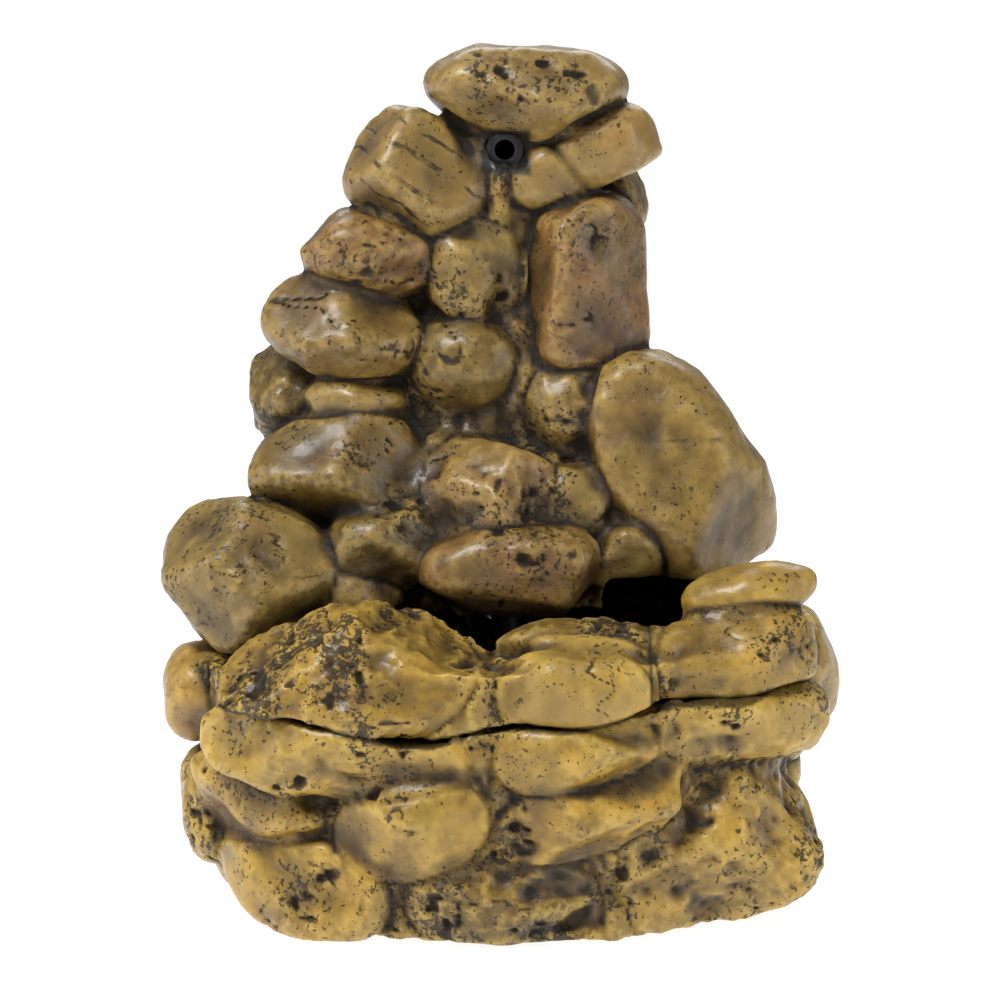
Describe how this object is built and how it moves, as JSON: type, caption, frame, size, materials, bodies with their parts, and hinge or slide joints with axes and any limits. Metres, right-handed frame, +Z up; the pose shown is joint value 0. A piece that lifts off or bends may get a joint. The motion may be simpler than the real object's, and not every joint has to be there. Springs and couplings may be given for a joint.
{
  "type": "tabletop water fountain",
  "caption": "Tabletop fountain of stacked cast-resin stones: a round basin, a rock cover on its front rim and a hollow cascade tower over a submersible pump.",
  "frame": {"origin": "centre of the fountain's footprint, on the surface that it stands on", "axes": "+Z up; the cascade faces -Y; +X is on the right seen from the front"},
  "size_m": [0.215, 0.176, 0.269],
  "materials": {
    "cast_resin_ochre": "satin",
    "cast_resin_brown": "satin",
    "black_rubber": "matt",
    "black_hose": "satin",
    "pump_plastic": "satin",
    "laminated_iron": "satin",
    "copper_wire": "gloss",
    "potting_resin": "gloss",
    "ferrite": "matt",
    "white_plastic": "gloss",
    "white_ceramic": "gloss",
    "dial_plastic": "satin",
    "foam": "matt",
    "clear_rubber": "satin"
  },
  "bodies": {
    "base": {"basin": "cast_resin_ochre", "rubber_feet": "black_rubber", "pump_housing": "pump_plastic", "stator_core": "laminated_iron", "stator_coil": "copper_wire", "pump_potting": "potting_resin", "cable_gland": "black_rubber", "rotor_shaft": "white_ceramic", "shaft_bush_rear": "black_rubber", "shaft_bush_front": "black_rubber", "volute_cover": "pump_plastic", "volute_seal": "black_rubber", "outlet_nozzle": "pump_plastic", "suction_cups": "clear_rubber"},
    "tower": {"cascade_tower": "cast_resin_brown", "water_hose": "black_hose", "spout_grommet": "black_rubber"},
    "front_cover": {"rock_cover": "cast_resin_ochre"},
    "rotor": {"rotor_magnet": "ferrite", "impeller": "white_plastic"},
    "intake": {"intake_cover": "pump_plastic", "foam_filter": "foam"},
    "dial": {"flow_dial": "dial_plastic"}
  },
  "joints": [
    {"name": "tower_lift", "type": "slide", "parent": "base", "child": "tower", "axis": [0, 0, 1], "range_m": [0, 0.2]},
    {"name": "cover_lift", "type": "slide", "parent": "base", "child": "front_cover", "axis": [0, 0, 1], "range_m": [0, 0.1]},
    {"name": "rotor_spin", "type": "hinge", "parent": "base", "child": "rotor", "pos_m": [0.0015, 0.02, 0.0362], "axis": [0, 1, 0], "continuous": true},
    {"name": "intake_pull", "type": "slide", "parent": "base", "child": "intake", "axis": [0, -1, 0], "range_m": [0, 0.025]},
    {"name": "dial_turn", "type": "hinge", "parent": "intake", "child": "dial", "pos_m": [-0.009, -0.002, 0.02687], "axis": [0, -1, 0], "range_deg": [0, 90]}
  ]
}
